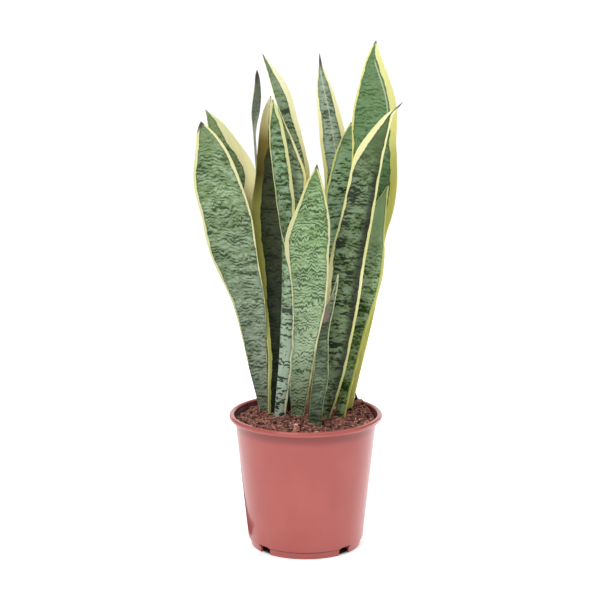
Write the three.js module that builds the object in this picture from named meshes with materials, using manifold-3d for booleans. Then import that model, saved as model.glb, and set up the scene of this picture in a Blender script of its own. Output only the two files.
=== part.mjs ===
// Potted snake plant: thirteen sword-shaped leaves in three fans, growing from short
// rhizomes in the peat of a plastic nursery pot.
// Millimetres, +Z up, origin at the centre of the pot's foot, front of the plant at -Y.

import * as THREE from 'three';
import { mergeVertices } from 'three/addons/utils/BufferGeometryUtils.js';
import Module from 'manifold-3d';

const wasm = await Module();
wasm.setup();

// ---- Driving dimensions ----------------------------------------------------------------

const GAP = 0.35;

const POT = {
  height: 152,
  rimRadius: 86,
  lipHeight: 5.5,
  lipWidth: 5.5,
  wallTopRadius: 79.1,
  wallFootRadius: 65.2,
  footRadius: 61.8,
  footHeight: 8,
  collarHeight: 11,
  wall: 1.4,
  floorHeight: 6,
  padRadius: 22,
  segments: 48,
};

const DRAIN = { count: 4, firstAngle: 43.5, width: 15, height: 10, corner: 1.5, reach: 12 };

const SOIL = {
  level: 145,
  moundHeight: 8,
  moundSpread: 19,
  mound: [56, 44],
  crumb: 0.8,
  rings: 7,
  segments: 36,
};

const LEAF = {
  rings: 18,
  tipCrowding: 1.5,
  footThickness: 6.5,
  bladeThickness: 2.8,
  thinsBy: 0.45,
  tipSlenderness: 0.45,
  buriedTo: 160,
  socketGap: 0.6,
};

const RHIZOME = { depth: 107, radius: 9, endReach: 6, steps: 12, sides: 10 };

// Places across half a blade where a ring has points, from one margin (-1) to the other (1).
const ACROSS = [-0.85, -0.45, 0, 0.45, 0.85];

// ---- Leaves ----------------------------------------------------------------------------
// Stations from the foot to the tip: [height, x, y, width, facing, cup].
// Facing is the way the channelled side looks, in degrees: 0 to the front, 90 to the right.
// Cup is how far the margins stand forward of the midrib.

const LEAVES = [
  {
    name: 'leaf_front_left_broad',
    fold: 2,
    stations: [
      [112, -42, 37, 12, 10, 1.5],
      [150, -47.5, 36, 13, 10, 2],
      [190, -53.6, 34, 20.5, 9, 3],
      [229, -58.4, 31, 27.3, 8, 4],
      [276, -65.4, 29, 37.8, 6, 5],
      [322, -79.1, 27, 50.8, 5, 6],
      [345, -83.9, 26, 55, 3.5, 6],
      [367, -87, 25, 56, 2, 6],
      [413, -98.5, 23, 52, 0, 5],
      [446, -104, 21, 35, 0, 4],
      [466, -110.5, 20, 18.5, 0, 2],
      [478, -115.5, 19, 0.8, 0, 0],
    ],
  },
  {
    name: 'leaf_back_left_broad',
    fold: 2,
    stations: [
      [112, -36, 49, 11, 15, 1.5],
      [150, -42, 49.5, 14, 12, 2],
      [229, -53.5, 50, 26, 10, 3],
      [262, -60, 49, 33, 9, 4],
      [322, -76, 46, 36, 8, 5],
      [381, -83, 44, 45, 5, 6],
      [421, -82.5, 44, 54, 0, 6],
      [443, -89, 44, 42, 0, 5],
      [466, -97.5, 45, 24, 0, 3],
      [479, -104, 46, 12, 0, 1.5],
      [488, -112, 47, 0.8, 0, 0],
    ],
  },
  {
    name: 'leaf_far_back_narrow',
    fold: 2,
    stations: [
      [112, -23, 53, 11, 84, 1],
      [150, -25, 55, 13, 86, 1],
      [300, -43, 62, 22, 88, 1],
      [420, -55, 61, 24, 90, 0.5],
      [462, -57.5, 59, 22, 88, 0.5],
      [480, -57.2, 58, 21, 66, 1],
      [496, -55.6, 57, 21, 65, 1],
      [511, -54.6, 56, 15.5, 65, 1],
      [523, -54.3, 56, 9, 65, 0.5],
      [532, -54.3, 56, 0.8, 65, 0],
    ],
  },
  {
    name: 'leaf_left_channelled',
    fold: 2,
    stations: [
      [112, -37, 28, 10, 30, 2],
      [150, -39, 27, 12, 30, 3],
      [218, -35.6, 35, 18, 22, 3],
      [260, -37, 39.5, 26, 18, 3.5],
      [298, -37, 42, 35, 17, 4.5],
      [366, -44, 45, 43, 22, 8],
      [422, -42, 48, 37, 26, 8],
      [466, -42, 50, 27, 26, 6],
      [491, -41, 52, 14, 26, 3],
      [503, -39, 53, 0.8, 26, 0],
    ],
  },
  {
    name: 'leaf_left_twisted',
    fold: 1.8,
    stations: [
      [112, -32.5, 13, 13, 108, 5],
      [152, -32.2, 13, 17, 108, 7.5],
      [198, -28.5, 13, 22, 110, 8.5],
      [279, -25.5, 13, 25, 110, 8.5],
      [335, -25, 12, 25, 76, 7],
      [369, -23.5, 11, 24, 42, 5],
      [414, -26.6, 10, 22, 24, 4],
      [458, -31.5, 10, 19, 15, 3],
      [481, -33.5, 10, 13, 12, 2],
      [494, -35, 10, 7, 12, 1],
      [503, -36, 10, 0.8, 12, 0],
    ],
  },
  {
    name: 'leaf_tall_left',
    fold: 1.5,
    stations: [
      [112, -11.5, 33, 11, 78, 2],
      [150, -19, 34, 13, 72, 3],
      [200, -20.5, 35, 17, 72, 4],
      [260, -15, 35, 22, 78, 5],
      [360, -8, 35, 30, 84, 13],
      [391, -14.5, 35, 33, 84, 17.5],
      [419, -17, 34, 34, 83, 19.5],
      [439, -21, 33, 34, 79, 18.3],
      [458, -24.2, 33, 34, 72, 16],
      [475, -26.2, 32, 33, 66, 12.2],
      [489, -27.8, 32, 31, 58, 9],
      [511, -30.5, 32, 26, 46, 4.5],
      [530, -37.5, 32, 16, 42, 2.5],
      [541, -43, 32, 7, 42, 1],
      [551, -48, 32, 0.8, 42, 0],
    ],
  },
  {
    name: 'leaf_front_centre',
    fold: 2,
    stations: [
      [112, -11, 14, 13, 4, 2],
      [147, -9.1, 7, 14.5, 3, 2.5],
      [188, -5.9, -5, 22.6, 2, 4],
      [235, -1, -17, 26.5, 0, 5],
      [281, 3.9, -25, 35.5, 0, 6],
      [318, 3.6, -29, 42, 0, 6],
      [348, 1, -31, 48.5, 0, 6],
      [368, 3.5, -32, 46, 0, 5],
      [397, 7.6, -33, 30, 0, 3],
      [419, 9.5, -34, 16.5, 0, 1.5],
      [433, 11.5, -34, 4, 0, 0.4],
      [438, 12, -34, 0.8, 0, 0],
    ],
  },
  {
    name: 'leaf_front_small',
    fold: 2,
    stations: [
      [112, 10, -26, 11, -10, 2],
      [144, 11.2, -27, 14, -10, 2.5],
      [174, 13, -26, 15.5, -10, 3],
      [197, 16.6, -24, 18, -10, 3],
      [220, 18, -22, 15.2, -10, 2.5],
      [250, 20.5, -18, 11.5, -10, 2],
      [271, 24.5, -16, 11.5, -10, 2],
      [282, 28.5, -15, 8, -10, 1.5],
      [294, 32.2, -14, 4.6, -10, 0.8],
      [305, 34.5, -13, 3, -10, 0.4],
      [314, 35.8, -12, 0.8, -10, 0],
    ],
  },
  {
    name: 'leaf_back_keeled',
    fold: 1.2,
    stations: [
      [112, 21, 48, 11, -20, 2],
      [150, 23, 50, 14, -20, 3],
      [220, 29, 60, 22, -20, 5],
      [300, 35, 68, 30, -20, 7],
      [360, 39.5, 71, 34, -20, 8],
      [409, 40, 72, 34, -20, 8],
      [443, 35, 72, 33, -20, 8],
      [477, 29.5, 71, 28.5, -20, 7],
      [499, 24.5, 70, 23, -20, 5],
      [514, 21.4, 69, 17.5, -20, 3.5],
      [526, 18.9, 69, 10, -20, 2],
      [535, 17, 68, 4, -20, 0.8],
      [543, 16, 68, 2, -20, 0.3],
      [550, 15.4, 67, 0.8, -20, 0],
    ],
  },
  {
    name: 'leaf_back_centre',
    fold: 2,
    stations: [
      [112, 13, 28, 11, 5, 1.5],
      [150, 10, 30, 15, 5, 2],
      [183, 11, 33, 20, 5, 2.5],
      [220, 17, 36, 26, 5, 3],
      [290, 29, 43, 34, 5, 4],
      [350, 37, 48, 41, 5, 4],
      [396, 44, 50, 42, 5, 4],
      [425, 47.5, 50, 37, 5, 4],
      [443, 48.5, 50, 29, 5, 3],
      [457, 49.5, 50, 18, 5, 2],
      [467, 50, 50, 8, 5, 1],
      [474, 50.6, 50, 0.8, 5, 0],
    ],
  },
  {
    name: 'leaf_tallest',
    fold: 2,
    stations: [
      [112, 43, 30, 12, -15, 1.5],
      [150, 46.5, 30, 15, -15, 2],
      [182, 51, 31, 20, -15, 3],
      [229, 58, 33, 27.5, -13, 4],
      [275, 64.5, 34, 34, -12, 5],
      [320, 67.5, 35, 39.5, -10, 6],
      [345, 69.5, 36, 41, -9, 6],
      [366, 73.3, 36, 46.6, -8, 6],
      [410, 77.2, 37, 51.4, -8, 6],
      [455, 76.6, 37, 49.2, -8, 6],
      [489, 77, 37, 49, -8, 5.5],
      [511, 77.5, 38, 39, -8, 5],
      [533, 75.9, 39, 25.8, -8, 3.5],
      [549, 75.5, 40, 14, -8, 2],
      [560, 76.3, 41, 5, -8, 0.7],
      [565, 77.5, 41, 0.8, -8, 0],
    ],
  },
  {
    name: 'leaf_front_right',
    fold: 2,
    stations: [
      [112, 20, 2, 12, -22, 2],
      [144, 22, 0, 14.5, -25, 3],
      [190, 29, -1, 32, -28, 5],
      [236, 36.8, -3, 38, -30, 6],
      [282, 43.5, -4, 42, -30, 6],
      [327, 48.5, -6, 44, -30, 6],
      [372, 58, -7, 40, -30, 6],
      [416, 66, -8, 37, -30, 6],
      [449, 72.5, -9, 34, -30, 5],
      [471, 82, -10, 22, -30, 3],
      [488, 91, -10, 9.5, -30, 1.5],
      [496, 99, -11, 3.5, -30, 0.5],
      [503, 105.5, -11, 0.8, -30, 0],
    ],
  },
  {
    name: 'leaf_right_narrow',
    fold: 2,
    stations: [
      [112, 38, 8, 10, -40, 1.5],
      [143, 40.5, 6, 13, -40, 2],
      [190, 47, 7, 22, -40, 3],
      [246, 57.7, 8, 30.4, -40, 4],
      [290, 68.5, 7.2, 37.4, -39, 4],
      [314, 73, 7, 38.2, -38, 4],
      [335, 75.6, 8, 34, -36, 4],
      [359, 78, 9, 27, -35, 4],
      [381, 82.5, 9, 19, -35, 3],
      [398, 87.5, 9, 8, -35, 1],
      [410, 91.5, 9, 0.8, -35, 0],
    ],
  },
];

// A papery brown sheath left standing at the foot of the centre fan.
const SHEATH = {
  name: 'dry_sheath',
  fold: 2,
  thin: true,
  stations: [
    [130, 4, -3, 8, 20, 2],
    [150, 5.5, -2.5, 9, 20, 2.5],
    [185, 7.5, -1, 8.5, 20, 2],
    [208, 9, -0.6, 5, 20, 1],
    [221, 10, -0.6, 0.8, 20, 0],
  ],
};

// Rhizomes: each lists the leaves that stand on it, in order along it.
const RHIZOMES = [
  {
    name: 'rhizome_left',
    leaves: [
      'leaf_left_twisted',
      'leaf_left_channelled',
      'leaf_front_left_broad',
      'leaf_back_left_broad',
      'leaf_far_back_narrow',
    ],
  },
  {
    name: 'rhizome_centre',
    leaves: ['leaf_front_centre', 'leaf_tall_left', 'leaf_back_centre', 'leaf_back_keeled'],
  },
  {
    name: 'rhizome_right',
    leaves: ['leaf_front_small', 'leaf_front_right', 'leaf_right_narrow', 'leaf_tallest'],
  },
];

// ---- Solids ----------------------------------------------------------------------------

function toManifold(geometry) {
  const bare = geometry.clone();
  bare.deleteAttribute('normal');
  bare.deleteAttribute('uv');
  const merged = mergeVertices(bare, 1e-4);
  const kept = [];
  const index = merged.index.array;
  for (let i = 0; i < index.length; i += 3) {
    const [a, b, c] = [index[i], index[i + 1], index[i + 2]];
    if (a !== b && b !== c && a !== c) kept.push(a, b, c);
  }
  return new wasm.Manifold(new wasm.Mesh({
    numProp: 3,
    vertProperties: new Float32Array(merged.attributes.position.array),
    triVerts: new Uint32Array(kept),
  }));
}

function toGeometry(manifold) {
  const mesh = manifold.getMesh();
  const geometry = new THREE.BufferGeometry();
  geometry.setAttribute('position', new THREE.BufferAttribute(mesh.vertProperties, 3));
  geometry.setIndex(new THREE.BufferAttribute(mesh.triVerts, 1));
  geometry.computeVertexNormals();
  return geometry;
}

function indexedGeometry(points, faces) {
  const geometry = new THREE.BufferGeometry().setFromPoints(points);
  geometry.setIndex(faces);
  geometry.computeVertexNormals();
  return geometry;
}

// A closed loop of points turned about the Z axis.
function turned(profile, segments) {
  const points = profile.map(([radius, height]) => new THREE.Vector2(radius, height));
  return new THREE.LatheGeometry(points, segments).rotateX(Math.PI / 2);
}

// ---- Leaf blades -----------------------------------------------------------------------

function shapeOf(stations) {
  const heights = new Float32Array(stations.map((station) => station[0]));
  const values = new Float32Array(stations.flatMap((station) => station.slice(1)));
  return new THREE.CubicInterpolant(heights, values, 5, new Float32Array(5));
}

// One level ring of a blade, seen from above: a crescent from margin to margin and back.
function bladeRing(leaf, shape, height, along) {
  const [x, y, fullWidth, facing, cup] = shape.evaluate(height);
  const width = Math.max(fullWidth, 0.8);
  const thinning = THREE.MathUtils.smoothstep(along, 0, LEAF.thinsBy);
  const full = THREE.MathUtils.lerp(LEAF.footThickness, LEAF.bladeThickness, thinning);
  const thickness = leaf.thin ? LEAF.bladeThickness / 2 : full;
  const halfThick = Math.min(thickness, width * LEAF.tipSlenderness) / 2;
  const halfWide = width / 2;
  const turn = THREE.MathUtils.degToRad(facing);
  const place = (u, side) => {
    const across = u * halfWide;
    const forward = cup * Math.abs(u) ** leaf.fold + side * halfThick * Math.sqrt(1 - u * u);
    return new THREE.Vector3(
      x + across * Math.cos(turn) + forward * Math.sin(turn),
      y + across * Math.sin(turn) - forward * Math.cos(turn),
      height,
    );
  };
  const front = ACROSS.map((u) => place(u, 1));
  const back = ACROSS.map((u) => place(-u, -1));
  return [place(-1, 0), ...front, place(1, 0), ...back];
}

// Faces of a crescent end cap: the front and back rows joined straight across.
function capFaces(start, size, up) {
  const faces = [];
  for (let i = 0; i < size / 2; i += 1) {
    const front = start + i;
    const nextFront = start + i + 1;
    const back = start + ((size - i) % size);
    const nextBack = start + size - i - 1;
    const pair = [[front, nextFront, nextBack], [front, nextBack, back]];
    for (const [a, b, c] of pair) {
      if (a !== b && b !== c && a !== c) faces.push(...(up ? [a, b, c] : [a, c, b]));
    }
  }
  return faces;
}

function wallFaces(rings, size) {
  const faces = [];
  for (let ring = 0; ring < rings - 1; ring += 1) {
    for (let i = 0; i < size; i += 1) {
      const a = ring * size + i;
      const b = ring * size + ((i + 1) % size);
      faces.push(a, b, b + size, a, b + size, a + size);
    }
  }
  return faces;
}

// Rings stand closer together towards the tip, where the outline turns fastest.
function ringHeights(leaf) {
  const foot = leaf.stations[0][0];
  const tip = leaf.stations.at(-1)[0];
  return Array.from({ length: LEAF.rings }, (_, ring) => {
    const along = 1 - (1 - ring / LEAF.rings) ** LEAF.tipCrowding;
    return { height: THREE.MathUtils.lerp(foot, tip, along), along };
  });
}

function bladeGeometry(leaf) {
  const shape = shapeOf(leaf.stations);
  const points = ringHeights(leaf)
    .flatMap(({ height, along }) => bladeRing(leaf, shape, height, along));
  const size = points.length / LEAF.rings;
  const faces = [...capFaces(0, size, false), ...wallFaces(LEAF.rings, size)];
  const tip = points.length;
  const last = tip - size;
  const [tipHeight, tipX, tipY] = leaf.stations.at(-1);
  points.push(new THREE.Vector3(tipX, tipY, tipHeight));
  for (let i = 0; i < size; i += 1) {
    faces.push(last + i, last + ((i + 1) % size), tip);
  }
  return indexedGeometry(points, faces);
}

function grownRing(points) {
  return points.map((point, i) => {
    const before = points.at(i - 1);
    const after = points[(i + 1) % points.length];
    const outward = new THREE.Vector3(after.y - before.y, before.x - after.x, 0);
    return point.clone().add(outward.setLength(LEAF.socketGap));
  });
}

// The hole that a blade's foot fills: its lowest rings grown by the gap, to above the peat.
function socket(leaf) {
  const shape = shapeOf(leaf.stations);
  const heights = ringHeights(leaf);
  const count = heights.findIndex(({ height }) => height > LEAF.buriedTo) + 1;
  const rings = heights.slice(0, count)
    .map(({ height, along }) => grownRing(bladeRing(leaf, shape, height, along)));
  rings[0].forEach((point) => point.setZ(point.z - GAP));
  const size = rings[0].length;
  const faces = [
    ...capFaces(0, size, false),
    ...wallFaces(count, size),
    ...capFaces((count - 1) * size, size, true),
  ];
  return toManifold(indexedGeometry(rings.flat(), faces));
}

// ---- Rhizomes --------------------------------------------------------------------------

function rhizomeStem(rhizome, grow) {
  const feet = rhizome.leaves.map((name) => {
    const [, x, y] = LEAVES.find((leaf) => leaf.name === name).stations[0];
    return new THREE.Vector3(x, y, RHIZOME.depth);
  });
  const reach = RHIZOME.endReach + grow;
  const first = feet[0].clone().add(feet[0].clone().sub(feet[1]).setLength(reach));
  const last = feet.at(-1).clone().add(feet.at(-1).clone().sub(feet.at(-2)).setLength(reach));
  const section = new THREE.Shape();
  for (let side = 0; side < RHIZOME.sides; side += 1) {
    const angle = (side / RHIZOME.sides) * 2 * Math.PI;
    const radius = RHIZOME.radius + grow;
    const [x, y] = [radius * Math.cos(angle), radius * Math.sin(angle)];
    if (side === 0) section.moveTo(x, y);
    else section.lineTo(x, y);
  }
  section.closePath();
  return toManifold(new THREE.ExtrudeGeometry(section, {
    steps: RHIZOME.steps,
    extrudePath: new THREE.CatmullRomCurve3([first, ...feet, last]),
    bevelEnabled: false,
  }));
}

// ---- Pot -------------------------------------------------------------------------------

const collarBase = POT.height - POT.collarHeight;
const wallSlope = (POT.wallTopRadius - POT.wallFootRadius) / (collarBase - POT.footHeight);
const floorTop = POT.floorHeight + POT.wall;

function innerRadius(height) {
  return POT.wallFootRadius - POT.wall + wallSlope * (height - POT.footHeight);
}

function potSolid() {
  const { height, rimRadius, lipHeight, lipWidth, wall, footRadius, padRadius } = POT;
  const lipInner = rimRadius - lipWidth;
  const profile = [
    [0, 0],
    [padRadius, 0],
    [padRadius + 2, POT.floorHeight],
    [footRadius - 2.6, POT.floorHeight],
    [footRadius - 2.2, 0],
    [footRadius, 0],
    [footRadius + 1, POT.footHeight - 1],
    [POT.wallFootRadius, POT.footHeight + 1],
    [POT.wallTopRadius, collarBase],
    [POT.wallTopRadius + 1, height - lipHeight - 0.6],
    [rimRadius - 1.2, height - lipHeight],
    [rimRadius - 0.2, height - lipHeight + 1],
    [rimRadius, height - lipHeight / 2],
    [rimRadius - 0.6, height - 1],
    [rimRadius - 2.2, height],
    [rimRadius - 3.6, height],
    [lipInner + 0.3, height - 1],
    [lipInner - 0.6, height - 3],
    [innerRadius(collarBase) + 0.8, height - lipHeight - 1],
    [innerRadius(collarBase), collarBase],
    [innerRadius(floorTop + 2), floorTop + 2],
    [innerRadius(floorTop) - 1.5, floorTop],
    [padRadius + 2.5, floorTop],
    [padRadius + 0.5, wall],
    [0, wall],
  ];
  let pot = toManifold(turned(profile, POT.segments));
  for (let i = 0; i < DRAIN.count; i += 1) {
    pot = pot.subtract(drainNotch(DRAIN.firstAngle - 90 + (i * 360) / DRAIN.count));
  }
  return pot;
}

// A drain slot through the foot, open below, with rounded upper corners.
function drainNotch(angle) {
  const half = DRAIN.width / 2;
  const { corner, height, reach } = DRAIN;
  const outline = new THREE.Shape();
  outline.moveTo(-half, -1);
  outline.lineTo(half, -1);
  outline.lineTo(half, height - corner);
  outline.absarc(half - corner, height - corner, corner, 0, Math.PI / 2);
  outline.absarc(corner - half, height - corner, corner, Math.PI / 2, Math.PI);
  outline.closePath();
  const cutter = new THREE.ExtrudeGeometry(outline, {
    depth: reach,
    bevelEnabled: false,
    curveSegments: 3,
  });
  cutter.rotateX(Math.PI / 2);
  cutter.translate(0, -(POT.footRadius + 5 - reach), 0);
  cutter.rotateZ(THREE.MathUtils.degToRad(angle + 90));
  return toManifold(cutter);
}

// ---- Peat ------------------------------------------------------------------------------

// The loose surface: a gentle swell, finger-sized hollows and a mound at the back right.
function peatHeight(x, y) {
  const swell = 1.2 * Math.sin(x / 23 + 0.7) * Math.cos(y / 19 - 0.4);
  const crumbs = Math.sin(x / 4.3 + y / 7.1) * Math.cos(y / 3.9 - x / 9.7);
  const [moundX, moundY] = SOIL.mound;
  const away = ((x - moundX) ** 2 + (y - moundY) ** 2) / (2 * SOIL.moundSpread ** 2);
  return SOIL.level + swell + SOIL.crumb * crumbs + SOIL.moundHeight * Math.exp(-away);
}

function peatSolid() {
  const edgeHeight = SOIL.level - 1;
  const edge = innerRadius(Math.min(edgeHeight, collarBase)) - GAP;
  const profile = [
    [POT.padRadius, POT.wall + GAP],
    [POT.padRadius + 1.8, floorTop + GAP],
    [innerRadius(floorTop) - 2.2, floorTop + GAP],
    [innerRadius(floorTop + 2) - GAP, floorTop + 2 + GAP],
    [edge - 0.1, edgeHeight - 3],
  ];
  const points = [new THREE.Vector3(0, 0, POT.wall + GAP)];
  const { rings, segments } = SOIL;
  const addRing = (radius, heightAt) => {
    for (let i = 0; i < segments; i += 1) {
      const angle = (i / segments) * 2 * Math.PI;
      const [x, y] = [radius * Math.cos(angle), radius * Math.sin(angle)];
      points.push(new THREE.Vector3(x, y, heightAt(x, y)));
    }
  };
  for (const [radius, height] of profile) addRing(radius, () => height);
  for (let ring = rings; ring > 0; ring -= 1) addRing((edge * ring) / rings, peatHeight);
  const levels = profile.length + rings;
  points.push(new THREE.Vector3(0, 0, peatHeight(0, 0)));
  const faces = wallFaces(levels, segments).map((index) => index + 1);
  const top = points.length - 1;
  const lastRing = top - segments;
  for (let i = 0; i < segments; i += 1) {
    const next = (i + 1) % segments;
    faces.push(0, 1 + next, 1 + i);
    faces.push(lastRing + i, lastRing + next, top);
  }
  return toManifold(indexedGeometry(points, faces));
}

// ---- The plant -------------------------------------------------------------------------

function finish(color, roughness) {
  return new THREE.MeshStandardMaterial({ color, roughness, metalness: 0 });
}

const plant = new THREE.Group();

function addPiece(name, geometry, material) {
  const mesh = new THREE.Mesh(geometry, material);
  mesh.name = name;
  plant.add(mesh);
}

const blades = [...LEAVES, SHEATH];
const sockets = new Map(blades.map((leaf) => [leaf.name, socket(leaf)]));

let peat = peatSolid();
for (const hole of sockets.values()) peat = peat.subtract(hole);

for (const rhizome of RHIZOMES) {
  let stem = rhizomeStem(rhizome, 0);
  for (const name of rhizome.leaves) stem = stem.subtract(sockets.get(name));
  peat = peat.subtract(rhizomeStem(rhizome, GAP));
  addPiece(rhizome.name, toGeometry(stem), finish(0xd9a45f, 0.6));
}

// The cuts leave a grain or two loose between a rhizome and its leaves: they are dropped.
const [peatBody] = peat.decompose().sort((a, b) => b.volume() - a.volume());

addPiece('pot', toGeometry(potSolid()), finish(0xc5716b, 0.35));
addPiece('peat', toGeometry(peatBody), finish(0x4d302b, 0.95));
LEAVES.forEach((leaf) => addPiece(leaf.name, bladeGeometry(leaf), finish(0x6f9069, 0.42)));
addPiece(SHEATH.name, bladeGeometry(SHEATH), finish(0x9c8467, 0.8));

export default plant;
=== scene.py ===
# A potted snake plant: thirteen banded, cream-edged sword leaves in three fans, growing
# from short rhizomes in reddish peat, in a satin terracotta-coloured nursery pot.
# Metres, +Z up, origin at the middle of the pot's foot, front of the plant at -Y.

import math

import bmesh
import bpy
import numpy as np
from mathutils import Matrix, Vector, noise


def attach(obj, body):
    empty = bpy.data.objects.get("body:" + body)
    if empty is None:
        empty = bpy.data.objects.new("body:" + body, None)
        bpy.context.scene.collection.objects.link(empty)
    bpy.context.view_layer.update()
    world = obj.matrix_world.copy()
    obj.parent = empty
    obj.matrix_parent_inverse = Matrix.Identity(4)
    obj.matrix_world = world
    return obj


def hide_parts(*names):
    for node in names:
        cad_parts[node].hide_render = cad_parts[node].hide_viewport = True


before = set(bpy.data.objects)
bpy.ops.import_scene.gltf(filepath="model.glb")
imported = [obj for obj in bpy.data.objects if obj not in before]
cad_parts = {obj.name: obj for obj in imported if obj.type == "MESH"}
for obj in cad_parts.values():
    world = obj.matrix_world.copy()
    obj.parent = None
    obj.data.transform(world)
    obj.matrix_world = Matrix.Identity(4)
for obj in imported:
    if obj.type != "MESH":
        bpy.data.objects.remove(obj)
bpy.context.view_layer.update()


# ---- Nursery pot ------------------------------------------------------------------------
# One injection moulding in salmon-terracotta polypropylene: a thin tapered wall under a
# flared collar and a rolled lip, and a raised floor on a foot ring with four drain slots.
# It stands free; the skin is satin, with a faint orange peel and a few handling scuffs.

def srgb(red, green, blue):
    """A colour given as 0-255 display values, as the linear colour that shaders take."""
    shares = [value / 255 for value in (red, green, blue)]
    linear = [s / 12.92 if s <= 0.04045 else ((s + 0.055) / 1.055) ** 2.4 for s in shares]
    return (*linear, 1.0)


def node(tree, kind, inputs=None, **settings):
    """A shader node with its settings made, and its inputs set, or linked to a socket."""
    made = tree.nodes.new(kind)
    for key, value in settings.items():
        setattr(made, key, value)
    for socket, value in (inputs or {}).items():
        if isinstance(value, bpy.types.NodeSocket):
            tree.links.new(value, made.inputs[socket])
        else:
            made.inputs[socket].default_value = value
    return made


def sums(tree, operation, *values):
    """The result of one maths step on numbers or sockets."""
    inputs = dict(enumerate(values))
    return node(tree, "ShaderNodeMath", inputs, operation=operation).outputs[0]


def times(tree, first, second, plus=0.0):
    """The product of two numbers or sockets, plus a third."""
    return sums(tree, "MULTIPLY_ADD", first, second, plus)


def between(tree, value, low, high):
    """0 where the value is under low, 1 over high, and a smooth step from one to the other."""
    inputs = {"Value": value, "From Min": low, "From Max": high}
    made = node(tree, "ShaderNodeMapRange", inputs, interpolation_type="SMOOTHSTEP")
    return made.outputs["Result"]


def blended(tree, share, first, second):
    """The first colour turned into the second by a share."""
    inputs = {"Factor": share, "A": first, "B": second}
    return node(tree, "ShaderNodeMix", inputs, data_type="RGBA").outputs["Result"]


def cloud(tree, place, scale, detail=2.0, roughness=0.5):
    """Soft seeded noise from 0 to 1 at a place, with about scale lumps to the unit."""
    inputs = {"Vector": place, "Scale": scale, "Detail": detail, "Roughness": roughness}
    return node(tree, "ShaderNodeTexNoise", inputs).outputs["Fac"]


def relief(tree, height, depth):
    """The normal of a surface with a height of 0 to 1 pressed in it, depth metres deep."""
    inputs = {"Height": height, "Distance": depth, "Strength": 1.0}
    return node(tree, "ShaderNodeBump", inputs).outputs["Normal"]


def new_material(name, **constants):
    """An empty material of one Principled shader; constants are set on its own sockets."""
    material = bpy.data.materials.new(name)
    material.use_nodes = True
    shader = material.node_tree.nodes["Principled BSDF"]
    for key, value in constants.items():
        shader.inputs[key.replace("_", " ")].default_value = value
    return material, material.node_tree, shader


def feed(tree, taker, **sockets):
    """Links what varies over the surface to the inputs of a shader or a group's output."""
    for key, value in sockets.items():
        tree.links.new(value, taker.inputs[key.replace("_", " ")])


def new_piece(name, points, faces, material, smooth=True):
    """A mesh object from points in metres."""
    mesh = bpy.data.meshes.new(name)
    mesh.from_pydata([tuple(point) for point in points], [], faces)
    mesh.materials.append(material)
    mesh.polygons.foreach_set("use_smooth", [smooth] * len(mesh.polygons))
    piece = bpy.data.objects.new(name, mesh)
    bpy.context.scene.collection.objects.link(piece)
    return piece


MM = 0.001
POT_HEIGHT = 152
RIM_RADIUS = 86
LIP_BASE = 146.5
WALL = 1.4
FOOT_HEIGHT = 8
COLLAR_BASE = 141
WALL_FOOT, WALL_TOP = 65.2, 79.1
FLOOR_TOP = 7.4


def inner_radius(height):
    """Radius of the pot's inside at a height, both in millimetres."""
    slope = (WALL_TOP - WALL_FOOT) / (COLLAR_BASE - FOOT_HEIGHT)
    return WALL_FOOT - WALL + slope * (height - FOOT_HEIGHT)


# The section of the moulding: radius, height, and the radius that its corner is turned on.
POT_SECTION = [
    (0, 0, 0),
    (22, 0, 0.8),
    (24, 6, 0.9),
    (59.2, 6, 0.7),
    (59.6, 0, 0.5),
    (61.8, 0, 0.8),
    (62.8, 7.2, 0.8),
    (WALL_FOOT, 8.8, 0.9),
    (WALL_TOP, COLLAR_BASE, 6),
    (WALL_TOP + 0.9, LIP_BASE - 0.4, 0.9),
    (RIM_RADIUS, LIP_BASE, 2.3),
    (RIM_RADIUS, POT_HEIGHT, 2.6),
    (RIM_RADIUS - 5.4, POT_HEIGHT, 2.3),
    (RIM_RADIUS - 6.1, LIP_BASE + 1.5, 1.5),
    (inner_radius(COLLAR_BASE) + 0.8, LIP_BASE - 1, 3),
    (inner_radius(COLLAR_BASE), COLLAR_BASE, 5),
    (inner_radius(9.4), 9.4, 1),
    (inner_radius(FLOOR_TOP) - 1.5, FLOOR_TOP, 0.8),
    (24.5, FLOOR_TOP, 0.9),
    (22.5, WALL, 0.8),
    (0, WALL, 0),
]


def turned_corners(section, steps=6):
    """The section's points, with each corner turned on its own radius."""
    points = [Vector(section[0][:2])]
    for before, here, after in zip(section, section[1:], section[2:]):
        corner = Vector(here[:2])
        back = Vector(before[:2]) - corner
        ahead = Vector(after[:2]) - corner
        half = back.angle(ahead) / 2
        reach = min(here[2] / math.tan(half), 0.45 * back.length, 0.45 * ahead.length)
        radius = reach * math.tan(half)
        start = corner + back.normalized() * reach
        bisector = (back.normalized() + ahead.normalized()).normalized()
        centre = corner + bisector * (radius / math.sin(half))
        first = start - centre
        last = corner + ahead.normalized() * reach - centre
        sweep = math.pi - 2 * half
        for step in range(steps + 1):
            turn = step / steps * sweep
            spoke = first * math.sin(sweep - turn) + last * math.sin(turn)
            points.append(centre + spoke / math.sin(sweep))
    return [*points, Vector(section[-1][:2])]


def turned_faces(segments, rings):
    """The faces of a closed body of rings round the axis, after its two end points."""
    faces = []
    last = 2 + (rings - 1) * segments
    for i in range(segments):
        j = (i + 1) % segments
        faces.append((0, 2 + j, 2 + i))
        faces.append((1, last + i, last + j))
        for low in range(2, last, segments):
            faces.append((low + i, low + j, low + segments + j, low + segments + i))
    return faces


def spun(section, segments=192):
    """A section that starts and ends on the axis, turned about it into a closed body."""
    points = [(0, 0, section[0].y), (0, 0, section[-1].y)]
    for radius, height in section[1:-1]:
        for i in range(segments):
            angle = 2 * math.pi * i / segments
            points.append((radius * math.cos(angle), radius * math.sin(angle), height))
    return np.array(points) * MM, turned_faces(segments, len(section) - 2)


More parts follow.
